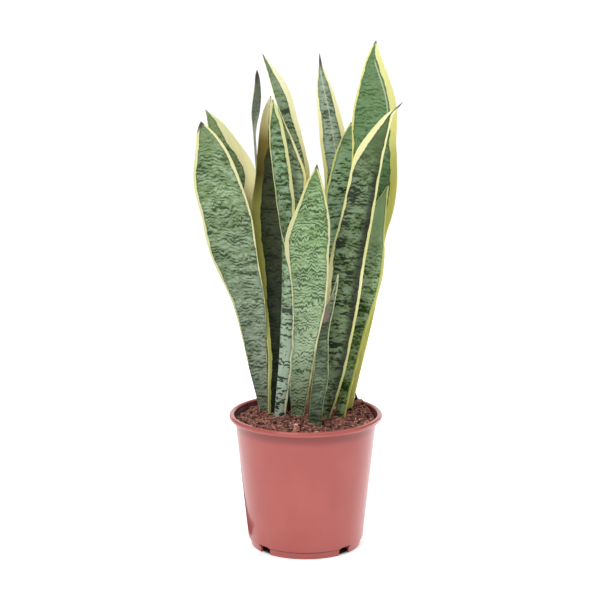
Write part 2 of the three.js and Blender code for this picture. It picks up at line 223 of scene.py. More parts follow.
def pot_plastic():
    """Satin coloured polypropylene with orange peel and fine scuffs, dusty at the foot, with
    painted shade under the lip, and darkened wherever it looks inward or under the floor,
    partly by peat stain and partly as painted shade."""
    dust_top = 0.03
    lip_shade_low, lip_shade_full, lip_shade_high = 0.132, 0.1415, 0.148
    inner_dark_low, inner_dark_high = 0.1496, 0.1512
    material, tree, shader = new_material(
        "pot_plastic", Specular_IOR_Level=0.25, Coat_Weight=0.4, Coat_Roughness=0.09)
    coordinates = node(tree, "ShaderNodeTexCoord")
    place, normal = coordinates.outputs["Object"], coordinates.outputs["Normal"]
    height = node(tree, "ShaderNodeSeparateXYZ", {0: place}).outputs["Z"]
    stretched = node(tree, "ShaderNodeMapping", {0: place, "Scale": (1, 1, 9)}).outputs[0]
    flow = cloud(tree, place, 22, 3)
    scuffs = between(tree, cloud(tree, stretched, 240, 4, 0.7), 0.64, 0.78)
    body = blended(tree, between(tree, flow, 0.3, 0.7), srgb(164, 78, 73), srgb(170, 84, 78))
    body = blended(tree, times(tree, scuffs, 0.18), body, srgb(208, 140, 132))
    low = between(tree, height, dust_top, 0.0)
    dust = times(tree, low, between(tree, cloud(tree, place, 90, 5), 0.5, 0.75))
    body = blended(tree, times(tree, dust, 0.3), body, srgb(140, 92, 82))
    # Painted shade: a dark band on the wall just under the overhanging lip, where its shadow
    # falls.
    lip_shade = times(tree, between(tree, height, lip_shade_low, lip_shade_full),
                  between(tree, height, lip_shade_high, LIP_BASE * MM - 0.0005))
    body = blended(tree, times(tree, lip_shade, 0.75), body, srgb(126, 54, 54))
    # Partly peat stain, partly painted shade: the inner wall above the peat and the faces under
    # the floor are darkened, so the foot's hollow shows dark through the drain slots.
    spoke = node(tree, "ShaderNodeVectorMath", {0: place, 1: (1, 1, 0)}, operation="MULTIPLY")
    outward = node(tree, "ShaderNodeVectorMath", {0: spoke.outputs[0]}, operation="NORMALIZE")
    turned_out = node(tree, "ShaderNodeVectorMath", {0: outward.outputs[0], 1: normal},
                      operation="DOT_PRODUCT").outputs["Value"]
    facing_up = node(tree, "ShaderNodeSeparateXYZ", {0: normal}).outputs["Z"]
    under = times(tree, between(tree, facing_up, -0.4, -0.8), between(tree, height, 0.002, 0.004))
    under = times(tree, under, between(tree, height, 0.12, 0.1))
    soiled_and_shaded = sums(tree, "MAXIMUM", between(tree, turned_out, -0.3, -0.8), under)
    soiled_and_shaded = times(tree, soiled_and_shaded, between(tree, height, inner_dark_high, inner_dark_low))
    clinging = between(tree, cloud(tree, place, 60, 4, 0.6), 0.2, 0.6)
    stain_and_shade = times(tree, soiled_and_shaded, times(tree, clinging, 0.35, 0.6))
    body = blended(tree, stain_and_shade, body, srgb(52, 26, 30))
    rough = times(tree, flow, 0.1, 0.28)
    rough = times(tree, scuffs, 0.14, rough)
    rough = times(tree, stain_and_shade, 0.4, rough)
    peel = cloud(tree, place, 700, 2)
    feed(tree, shader, Base_Color=body, Roughness=rough, Normal=relief(tree, peel, 0.00002))
    return material


def drain_cutters(count=4, first_angle=43.5, width=15, height=10, corner=1.5, reach=12,
                  outer=66.8):
    """Blocks with rounded tops that stand where the drain slots are cut through the foot."""
    half = width / 2
    outline = [(-half, -1), (half, -1)]
    for side, start in ((1, 0), (-1, 90)):
        for step in range(5):
            turn = math.radians(start + step * 22.5)
            across = side * (half - corner) + corner * math.cos(turn)
            outline.append((across, height - corner + corner * math.sin(turn)))
    size = len(outline)
    points, faces = [], []
    for number in range(count):
        turn = math.radians(first_angle - 90 + number * 360 / count)
        out = Vector((math.cos(turn), math.sin(turn), 0))
        along = Vector((-out.y, out.x, 0))
        start = len(points)
        for radius in (outer, outer - reach):
            points += [(out * radius + along * x + Vector((0, 0, z))) * MM for x, z in outline]
        faces.append(list(range(start, start + size)))
        faces.append(list(range(start + 2 * size - 1, start + size - 1, -1)))
        for i in range(size):
            j = (i + 1) % size
            faces.append((start + i, start + size + i, start + size + j, start + j))
    return points, faces


def cut_away(piece, points, faces):
    """Cuts the blocks out of a piece for good."""
    cutter = new_piece("cutter", points, faces, piece.data.materials[0])
    cut = piece.modifiers.new("cut", "BOOLEAN")
    cut.operation = "DIFFERENCE"
    cut.solver = "EXACT"
    cut.object = cutter
    whole = piece.evaluated_get(bpy.context.evaluated_depsgraph_get())
    mesh = bpy.data.meshes.new_from_object(whole)
    piece.modifiers.remove(cut)
    piece.data = mesh
    bpy.data.objects.remove(cutter)


pot = new_piece("pot_shell", *spun(turned_corners(POT_SECTION)), pot_plastic())
cut_away(pot, *drain_cutters())
pot.data.polygons.foreach_set("use_smooth", [True] * len(pot.data.polygons))
pot.data.set_sharp_from_angle(angle=math.radians(40))
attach(pot, "root")
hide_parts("pot")


# ---- Peat -------------------------------------------------------------------------------
# Coarse reddish-brown peat, filled to just under the lip and heaped a little at the back
# right, where a dead root stub stands up. Loose crumbs, bark chips and root fibres lie on it.

PEAT_LEVEL = 145
PEAT_GAP = 0.4
HEAP, HEAP_HEIGHT, HEAP_SPREAD = (56, 44), 8, 19
CRUMB_ROOM = 1.2
rng = np.random.default_rng(7)


def peat_height(x, y):
    """Height of the peat's surface in millimetres, at a place in millimetres."""
    swell = 1.2 * math.sin(x / 23 + 0.7) * math.cos(y / 19 - 0.4)
    away = ((x - HEAP[0]) ** 2 + (y - HEAP[1]) ** 2) / (2 * HEAP_SPREAD ** 2)
    lumps = 1.9 * noise.fractal(Vector((x, y, 3)) / 9, 0.9, 2.1, 4)
    return PEAT_LEVEL + swell + HEAP_HEIGHT * math.exp(-away) + lumps


def peat_bed(rings=70, segments=240):
    """The body of the peat: a fine lumpy top on the pot's inner shape."""
    edge = inner_radius(COLLAR_BASE) - PEAT_GAP
    outline = [
        (inner_radius(FLOOR_TOP) - 2.2, FLOOR_TOP + PEAT_GAP),
        (inner_radius(FLOOR_TOP + 2) - PEAT_GAP, FLOOR_TOP + 2 + PEAT_GAP),
        (inner_radius(60) - PEAT_GAP, 60),
        (inner_radius(110) - PEAT_GAP, 110),
        (edge, COLLAR_BASE - 0.5),
    ]
    levels = [(radius, lambda x, y, z=height: z) for radius, height in outline]
    levels += [(edge * ring / rings, peat_height) for ring in range(rings, 0, -1)]
    points = [(0, 0, FLOOR_TOP + PEAT_GAP), (0, 0, peat_height(0, 0))]
    for radius, height_at in levels:
        for i in range(segments):
            angle = 2 * math.pi * i / segments
            x, y = radius * math.cos(angle), radius * math.sin(angle)
            points.append((x, y, height_at(x, y)))
    return np.array(points) * MM, turned_faces(segments, len(levels))


def effect(name, inputs, outputs):
    """A new shader node group with named number sockets: the tree, its input and output."""
    tree = bpy.data.node_groups.new(name, "ShaderNodeTree")
    for title, value in inputs.items():
        socket = tree.interface.new_socket(title, in_out="INPUT", socket_type="NodeSocketFloat")
        socket.default_value = value
    for title in outputs:
        tree.interface.new_socket(title, in_out="OUTPUT", socket_type="NodeSocketFloat")
    return tree, tree.nodes.new("NodeGroupInput").outputs, tree.nodes.new("NodeGroupOutput")


def peat_grains():
    """The grain of crumbly peat: how much of it is the middle and the pale colour, its pale
    specks and its fine grains, shifted by the tone of the crumb or strand."""
    tree, given, result = effect("peat_grains", {"Tone": 0}, ["Mid", "Pale", "Specks", "Grains"])
    place = node(tree, "ShaderNodeTexCoord").outputs["Object"]
    grains = cloud(tree, place, 420, 4, 0.65)
    clods = cloud(tree, place, 95, 3)
    mixed = sums(tree, "ADD", times(tree, grains, 0.75, times(tree, clods, 0.45)), given["Tone"])
    specks = between(tree, cloud(tree, place, 620, 2), 0.62, 0.7)
    feed(tree, result, Mid=between(tree, mixed, 0.35, 0.75),
         Pale=between(tree, mixed, 0.78, 1.25), Specks=specks, Grains=grains)
    return tree


GRAINS = peat_grains()


def peat_material(name, dark, mid, pale):
    """Crumbly peat: dark, reddish and pale grains, all matt."""
    material, tree, shader = new_material(name, Specular_IOR_Level=0.25)
    tone = node(tree, "ShaderNodeAttribute", attribute_name="tone").outputs["Fac"]
    grain = node(tree, "ShaderNodeGroup", {"Tone": tone}, node_tree=GRAINS).outputs
    body = blended(tree, grain["Mid"], dark, mid)
    body = blended(tree, grain["Pale"], body, pale)
    body = blended(tree, times(tree, grain["Specks"], 0.35), body, pale)
    rough = times(tree, grain["Grains"], 0.2, 0.78)
    bumps = relief(tree, grain["Grains"], 0.0006)
    feed(tree, shader, Base_Color=body, Roughness=rough, Normal=bumps)
    return material


def crumb_heap(count=3000, usual=0.7, largest=3.6):
    """Loose crumbs and flat bark chips, each an irregular faceted lump on the surface. Every
    tenth is half as large again, and lies on the heap."""
    ball = bmesh.new()
    bmesh.ops.create_icosphere(ball, subdivisions=1, radius=1)
    knobs = np.array([vertex.co for vertex in ball.verts])
    triangles = np.array([[vertex.index for vertex in face.verts] for face in ball.faces])
    ball.free()
    points, faces, tones = [], [], []
    for number in range(count):
        size = min(usual * math.exp(abs(rng.normal(0, 0.62))), largest)
        spot = rng.uniform(0, 1)
        radius = (inner_radius(COLLAR_BASE) - CRUMB_ROOM - size) * math.sqrt(spot)
        angle = rng.uniform(0, 2 * math.pi)
        x, y = radius * math.cos(angle), radius * math.sin(angle)
        if number % 10 == 0:
            size = 1.5 * size
            x, y = rng.normal((57, 41), 6)
            reach = inner_radius(COLLAR_BASE) - CRUMB_ROOM - size
            pull = min(1, reach / math.hypot(x, y))
            x, y = x * pull, y * pull
        shape = knobs * size * rng.uniform((0.8, 0.6, 0.35), (1.5, 1.0, 0.8))
        shape = shape * rng.uniform(0.75, 1.2, (len(knobs), 1))
        tilt, turn = rng.normal(0, 0.45), rng.uniform(0, 2 * math.pi)
        turned = np.array([[math.cos(turn), -math.sin(turn), 0],
                           [math.sin(turn), math.cos(turn), 0], [0, 0, 1]])
        leaned = np.array([[1, 0, 0], [0, math.cos(tilt), -math.sin(tilt)],
                           [0, math.sin(tilt), math.cos(tilt)]])
        centre = np.array([x, y, peat_height(x, y) + 0.35 * size])
        points.append(shape @ leaned.T @ turned.T + centre)
        faces.append(triangles + number * len(knobs))
        tones.append(np.full(len(knobs), rng.normal(0.0, 0.24)))
    points = np.concatenate(points) * MM
    return points, np.concatenate(faces).tolist(), np.concatenate(tones)


def strand(path, radii, sides=6):
    """A bent round strand through points, with a radius at each: its points and faces."""
    path = np.array(path, float)
    along = np.gradient(path, axis=0)
    side = np.cross(along, (0.3, 0.2, 1))
    side /= np.linalg.norm(side, axis=1)[:, None]
    over = np.cross(side, along)
    over /= np.linalg.norm(over, axis=1)[:, None]
    turns = 2 * math.pi * np.arange(sides) / sides
    rings = side[:, None] * np.cos(turns)[:, None] + over[:, None] * np.sin(turns)[:, None]
    points = path[:, None] + rings * np.array(radii, float)[:, None, None]
    faces = [list(range(sides - 1, -1, -1))]
    for low in range(0, (len(path) - 1) * sides, sides):
        for i in range(sides):
            j = (i + 1) % sides
            faces.append([low + i, low + j, low + sides + j, low + sides + i])
    faces.append(list(range((len(path) - 1) * sides, len(path) * sides)))
    return points.reshape(-1, 3), faces


def root_fibres(count=150, steps=7):
    """Short bent strands of root and moss that lie over the crumbs."""
    points, faces, tones = [], [], []
    swell = np.sin((np.arange(steps) + 0.6) / steps * math.pi)
    for number in range(count):
        reach = (inner_radius(COLLAR_BASE) - 9) * math.sqrt(rng.uniform(0, 1))
        angle = rng.uniform(0, 2 * math.pi)
        heading = rng.uniform(0, 2 * math.pi)
        bend = rng.normal(0, 0.22)
        thick = rng.uniform(0.14, 0.34)
        x, y = reach * math.cos(angle), reach * math.sin(angle)
        path = []
        for step in range(steps):
            arch = 1.1 + 0.8 * math.sin(step / (steps - 1) * math.pi)
            path.append((x, y, peat_height(x, y) + arch))
            heading += bend
            stride = rng.uniform(1.0, 1.7)
            x, y = x + stride * math.cos(heading), y + stride * math.sin(heading)
        one, skin = strand(path, thick * (0.35 + 0.65 * swell))
        faces += [[corner + sum(map(len, points)) for corner in face] for face in skin]
        points.append(one)
        tones.append(np.full(len(one), rng.normal(0.15, 0.2)))
    return np.concatenate(points) * MM, faces, np.concatenate(tones)


def tinted(piece, name, tones):
    """Stores one number for each point of a piece."""
    piece.data.attributes.new(name, "FLOAT", "POINT").data.foreach_set("value", tones)


peat_dark, peat_mid, peat_pale = srgb(58, 30, 26), srgb(164, 108, 94), srgb(228, 192, 168)
peat_look = peat_material("peat", peat_dark, peat_mid, peat_pale)
bed = new_piece("peat_bed", *peat_bed(), peat_look)
tinted(bed, "tone", np.full(len(bed.data.vertices), -0.08))
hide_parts("peat")
crumb_points, crumb_faces, crumb_tones = crumb_heap()
crumbs = new_piece("peat_crumbs", crumb_points, crumb_faces, peat_look, smooth=False)
tinted(crumbs, "tone", crumb_tones)
fibre_look = peat_material(
    "root_fibre", srgb(84, 52, 42), srgb(168, 122, 104), srgb(224, 196, 176))
fibre_points, fibre_faces, fibre_tones = root_fibres()
fibres = new_piece("root_fibres", fibre_points, fibre_faces, fibre_look)
tinted(fibres, "tone", fibre_tones)
stub_path = [
    (60, 41, 148), (59, 40.4, 153), (58.4, 40, 158), (57.2, 40, 162), (56.6, 40.4, 165)]
stub_points, stub_faces = strand(stub_path, radii=(1.8, 1.6, 1.5, 1.2, 0.6), sides=8)
stub_look = peat_material("dead_root", srgb(34, 22, 18), srgb(78, 54, 44), srgb(120, 92, 74))
stub = new_piece("root_stub", stub_points * MM, stub_faces, stub_look)
tinted(stub, "tone", np.full(len(stub_points), 0.0))
for piece in (bed, crumbs, fibres, stub):
    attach(piece, "root")


# ---- Rhizomes ---------------------------------------------------------------------------
# Three short creeping stems, buried under the fans: pale orange, ringed by old leaf scars
# and dusted with peat. The leaves grow out of them.

def rhizome_skin():
    """Orange-tan skin with darker scars round the stem and clinging peat."""
    material, tree, shader = new_material("rhizome_skin", Specular_IOR_Level=0.35)
    place = node(tree, "ShaderNodeTexCoord").outputs["Object"]
    scars = node(tree, "ShaderNodeTexWave", {
        "Vector": place, "Scale": 62, "Distortion": 5, "Detail": 3}, bands_direction="Y")
    blotches = cloud(tree, place, 130, 4, 0.6)
    ringed = between(tree, scars.outputs["Fac"], 0.25, 0.6)
    skin = blended(tree, ringed, srgb(150, 92, 46), srgb(214, 158, 96))
    dirt = between(tree, blotches, 0.5, 0.66)
    skin = blended(tree, times(tree, dirt, 0.7), skin, peat_dark)
    rough = times(tree, dirt, 0.3, 0.5)
    feed(tree, shader, Base_Color=skin, Roughness=rough, Normal=relief(tree, blotches, 0.0008))
    return material


rhizome_look = rhizome_skin()
for name in ("rhizome_left", "rhizome_centre", "rhizome_right"):
    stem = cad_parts[name]
    stem.data.materials.clear()
    stem.data.materials.append(rhizome_look)


# ---- Leaves -----------------------------------------------------------------------------
# Stiff, fleshy blades, channelled down the front, 3 mm thick and thicker at the foot.
# Each is grey-green, crossed by ragged dark green bands, with cream to yellow margins
# and a short dry spike at the tip. They grow up out of the rhizomes through the peat.

# Places across half a ring, from one margin to the other, and the steps between them.
ACROSS = np.array([-1, -0.85, -0.45, 0, 0.45, 0.85, 1])
SPAN = len(ACROSS) - 1
MID = SPAN // 2


def level_rings(solid):
    """Reads a blade's solid as level rings: heights, midsurface points and half thickness."""
    mesh = solid.data
    corners = np.round([vertex.co for vertex in mesh.vertices], 6)
    points, where = np.unique(corners, axis=0, return_inverse=True)
    where = where.ravel()
    level = np.round(points[:, 2], 5)
    beside = [set() for _ in points]
    for face in mesh.polygons:
        loop = [int(where[i]) for i in face.vertices]
        if len({level[i] for i in loop}) > 1:
            for a, b in zip(loop, loop[1:] + loop[:1]):
                if a != b and level[a] == level[b]:
                    beside[a].add(b)
                    beside[b].add(a)
    rings = []
    for height in np.unique(level)[:-1]:
        start = int(np.flatnonzero(level == height)[0])
        walk = [start, min(beside[start])]
        while len(walk) < 2 * SPAN:
            walk.append(next(iter(beside[walk[-1]] - {walk[-2]})))
        ring = points[walk]
        x, y = ring[:, 0], ring[:, 1]
        if np.sum(x * np.roll(y, -1) - y * np.roll(x, -1)) < 0:
            ring = ring[::-1]
        opposite = np.linalg.norm(ring[:SPAN] - ring[SPAN:], axis=1)
        rings.append(np.roll(ring, -int(np.argmax(opposite)), axis=0))
    depth = [np.dot((r[0] + r[SPAN] - r[MID] - r[SPAN + MID])[:2], turn_right(r[SPAN] - r[0]))
             for r in rings]
    deepest = int(np.argmax(np.abs(depth)))
    if depth[deepest] < 0:
        rings[deepest] = np.roll(rings[deepest], SPAN, axis=0)
    for step in (1, -1):
        last = deepest
        while 0 <= last + step < len(rings):
            ahead = rings[last + step]
            if np.dot(ahead[SPAN] - ahead[0], rings[last][SPAN] - rings[last][0]) < 0:
                rings[last + step] = np.roll(ahead, SPAN, axis=0)
            last += step
    middles, halves = [], []
    for ring in rings:
        front, back = ring[1:SPAN], ring[:SPAN:-1]
        middles.append([ring[0], *((front + back) / 2), ring[SPAN]])
        swell = np.sqrt(1 - ACROSS[1:-1] ** 2)[:, None]
        halves.append(np.mean((front - back) / 2 / swell, axis=0))
    top = points[np.argmax(points[:, 2])]
    middles.append([top] * len(ACROSS))
    halves.append(np.zeros(3))
    heights = np.array([ring[0][2] for ring in rings] + [top[2]])
    return heights, np.array(middles), np.array(halves)


def turn_right(direction):
    """A level direction turned a quarter to the right, seen from above."""
    return np.array([direction[1], -direction[0]]) / max(np.linalg.norm(direction), 1e-9)


def spline(knots, values, at):
    """A smooth curve through values at uneven knots, read at new places."""
    gaps = np.diff(knots)
    shape = (-1,) + (1,) * (values.ndim - 1)
    slopes = np.diff(values, axis=0) / gaps.reshape(shape)
    before, after = gaps[:-1].reshape(shape), gaps[1:].reshape(shape)
    inner = (slopes[:-1] * after + slopes[1:] * before) / (before + after)
    tangents = np.concatenate([slopes[:1], inner, slopes[-1:]])
    i = np.clip(np.searchsorted(knots, at, side="right") - 1, 0, len(gaps) - 1)
    step = gaps[i].reshape(shape)
    t = ((at - knots[i]) / gaps[i]).reshape(shape)
    start = values[i] * (2 * t ** 3 - 3 * t ** 2 + 1) + values[i + 1] * (3 * t ** 2 - 2 * t ** 3)
    lean = tangents[i] * (t ** 3 - 2 * t ** 2 + t) + tangents[i + 1] * (t ** 3 - t ** 2)
    return start + lean * step


def blade(solid, left, right, seed, wave=0.45, most=0.42, rows=150, half=26):
    """A fine blade grown on its solid's rings. left and right list the margin's width in
    millimetres at shares of the leaf's height, up to most of its width; they are stored
    with the blade's own measures, so that the skin knows where it is on the leaf."""
    tip_crowding = 1.35
    rib_pitch, rib_depth = 5.2, 0.05
    heights, middles, halves = level_rings(solid)
    share = np.linspace(0, 1, rows)[:-1]
    rise = heights[0] + (heights[-1] - heights[0]) * (1 - (1 - share) ** tip_crowding)
    places = -np.cos(np.linspace(0, math.pi, half + 1))
    middle = spline(heights, middles, rise)
    middle = spline(ACROSS, middle.swapaxes(0, 1), places).swapaxes(0, 1)
    thick = spline(heights, halves, rise)[:, None, :]
    steps = np.linalg.norm(np.diff(middle, axis=1), axis=2)
    along_row = np.concatenate([np.zeros((len(rise), 1)), np.cumsum(steps, axis=1)], axis=1)
    width = along_row[:, -1:]
    across = along_row - along_row[:, half // 2: half // 2 + 1]
    own = np.random.default_rng(seed)
    lengths, phases = own.uniform(0.018, 0.05, 6), own.uniform(0, 2 * math.pi, 6)
    ripple = np.sin(rise[:, None] / lengths * 2 * math.pi + phases)
    fade = np.clip(width / 0.02, 0, 1) ** 2
    facing = thick / np.maximum(np.linalg.norm(thick, axis=2, keepdims=True), 1e-9)
    sway = ripple[:, :3].mean(axis=1)[:, None] * (places < 0) * np.abs(places) ** 5
    sway += ripple[:, 3:].mean(axis=1)[:, None] * (places > 0) * places ** 5
    ribs = rib_depth * np.sin(across / MM * 2 * math.pi / rib_pitch) * (1 - places ** 2)
    middle = middle + facing * ((sway * wave + ribs) * fade * MM)[:, :, None]
    out = thick * np.sqrt(1 - places ** 2)[None, :, None]
    front, back = middle + out, (middle - out)[:, -2:0:-1]
    rings = np.concatenate([front, back], axis=1)
    size = rings.shape[1]
    points = np.concatenate([rings.reshape(-1, 3), middles[-1][:1]])
    faces = [(i, i + 1, size - 1 - i, (size - i) % size) for i in range(half)]
    faces = [tuple(reversed(dict.fromkeys(face))) for face in faces]
    for low in range(0, (len(rise) - 1) * size, size):
        for i in range(size):
            j = (i + 1) % size
            faces.append((low + i, low + j, low + size + j, low + size + i))
    low = (len(rise) - 1) * size
    faces += [(low + i, low + (i + 1) % size, len(points) - 1) for i in range(size)]
    visible = np.clip((rise - PEAT_LEVEL * MM) / (heights[-1] - PEAT_LEVEL * MM), 0, 1)
    rim_left = np.interp(visible, *zip(*left))[:, None] * MM
    rim_right = np.interp(visible, *zip(*right))[:, None] * MM
    inset = np.maximum(np.minimum(rim_left, most * width) - along_row,
                       np.minimum(rim_right, most * width) - (width - along_row))
    strides = np.linalg.norm(np.diff(middle[:, half // 2], axis=0), axis=1)
    grow = np.concatenate([[0], np.cumsum(strides)])

    def both_sides(values, tip):
        """Values on the midsurface's rows, given to the points of both faces."""
        full = np.broadcast_to(values, across.shape)
        return np.append(np.concatenate([full, full[:, -2:0:-1]], axis=1).ravel(), tip)

    side = np.concatenate([np.ones(half + 1), np.zeros(size - half - 1)])
    measures = {
        "across_mm": both_sides(across / MM, 0),
        "along_mm": both_sides(grow[:, None] / MM, grow[-1] / MM),
        "inset_mm": both_sides(inset / MM, 0),
        "to_tip_mm": both_sides((heights[-1] - rise)[:, None] / MM, 0),
        "height_share": both_sides(visible[:, None], 1),
        "front_face": np.append(np.tile(side, len(rise)), 1),
    }
    return points, faces, measures


def leaf_point(tree, across, along, seed, across_mm, along_mm):
    """A place for noise whose lumps are so many millimetres across and along the leaf."""
    x = sums(tree, "DIVIDE", across, across_mm)
    y = sums(tree, "DIVIDE", along, along_mm)
    return node(tree, "ShaderNodeCombineXYZ", {0: x, 1: y, 2: seed}).outputs[0]


def ragged_bands():
    """The bands across a leaf: wavy dark lines that come and go, run together in dark
    clusters, and leave pale grey-green dashes and patches between them."""
    tree, given, result = effect("ragged_bands", {
        "Across": 0, "Along": 0, "Seed": 0, "Pitch": 4.5, "Wavy": 3.0, "Lines": 1.0,
        "Dashes": 1.0, "Clusters": 1.0}, ["Dark", "Pale", "Broad"])
    across, along, seed = given["Across"], given["Along"], given["Seed"]

    def lumps(across_mm, along_mm, detail=1, offset=0.0):
        """Noise from -0.5 to 0.5 with lumps of that size."""
        number = sums(tree, "ADD", seed, offset)
        place = leaf_point(tree, across, along, number, across_mm, along_mm)
        return sums(tree, "SUBTRACT", cloud(tree, place, 1, detail, 0.55), 0.5)

    shift = times(tree, lumps(26, 16), 13)
    shift = times(tree, lumps(5.2, 26, 1, 3.1), times(tree, given["Wavy"], 3.2), shift)
    shift = times(tree, lumps(2.6, 5, 1, 5.7), given["Wavy"], shift)
    phase = sums(tree, "DIVIDE", sums(tree, "ADD", along, shift), given["Pitch"])
    stripe = sums(tree, "SINE", times(tree, phase, 2 * math.pi))
    drawn = between(tree, lumps(15, 8, 1, 9.2), -0.14, 0.1)
    stripe = times(tree, stripe, times(tree, drawn, 0.3, 0.1))
    stripe = times(tree, stripe, given["Lines"])
    value = times(tree, lumps(5.6, 2.1, 2, 13.4), times(tree, given["Dashes"], 2.4), stripe)
    broad = lumps(24, 9, 2, 17.9)
    value = times(tree, broad, times(tree, given["Clusters"], 1.9), value)
    value = times(tree, lumps(1.5, 0.9, 1, 21.3), 0.35, value)
    feed(tree, result, Dark=between(tree, value, 0.02, 0.5),
         Pale=between(tree, value, -0.08, -0.55),
         Broad=between(tree, lumps(70, 34, 1, 25.1), -0.2, 0.2))
    return tree


def cream_margin():
    """The margin's uneven edge, the deeper green just inside it and fine green streaks."""
    tree, given, result = effect("cream_margin", {
        "Inset": 0, "Across": 0, "Along": 0, "Seed": 0}, ["Margin", "Border", "Streaks"])
    across, along, seed = given["Across"], given["Along"], given["Seed"]
    slow = cloud(tree, leaf_point(tree, 0.0, along, seed, 1, 15), 1, 1)
    quick = cloud(tree, leaf_point(tree, across, along, seed, 4, 2.6), 1, 2)
    edge = times(tree, sums(tree, "SUBTRACT", slow, 0.5), 3.4)
    edge = times(tree, sums(tree, "SUBTRACT", quick, 0.5), 1.6, edge)
    edge = sums(tree, "ADD", edge, given["Inset"])
    margin = between(tree, edge, -0.3, 0.3)
    border = times(tree, between(tree, edge, -3.6, -0.3), sums(tree, "SUBTRACT", 1.0, margin))
    streaks = cloud(tree, leaf_point(tree, across, along, seed, 0.8, 90), 1, 2)
    feed(tree, result, Margin=margin, Border=border, Streaks=between(tree, streaks, 0.6, 0.72))
    return tree


def leaf_fibres():
    """Fine parallel fibres along a leaf, and the pores and dents between them."""
    tree, given, result = effect("leaf_fibres", {
        "Across": 0, "Along": 0, "Seed": 0, "Spacing": 1.4}, ["Fibres", "Pores"])
    where = given["Across"], given["Along"], given["Seed"]
    fibres = leaf_point(tree, *where, given["Spacing"], 60)
    pores = leaf_point(tree, *where, 0.5, 0.8)
    feed(tree, result, Fibres=cloud(tree, fibres, 1, 3, 0.6), Pores=cloud(tree, pores, 1, 2))
    return tree


def graded(tree, share, colours):
    """A colour that runs through the given ones at their shares of the leaf's height."""
    ramp = node(tree, "ShaderNodeValToRGB", {0: share})
    stops = ramp.color_ramp.elements
    while len(stops) > len(colours):
        stops.remove(stops[-1])
    while len(stops) < len(colours):
        stops.new(1)
    for stop, (place, colour) in zip(stops, colours):
        stop.position, stop.color = place, srgb(*colour)
    return ramp.outputs["Color"]


BANDS, MARGIN, FIBRES = ragged_bands(), cream_margin(), leaf_fibres()


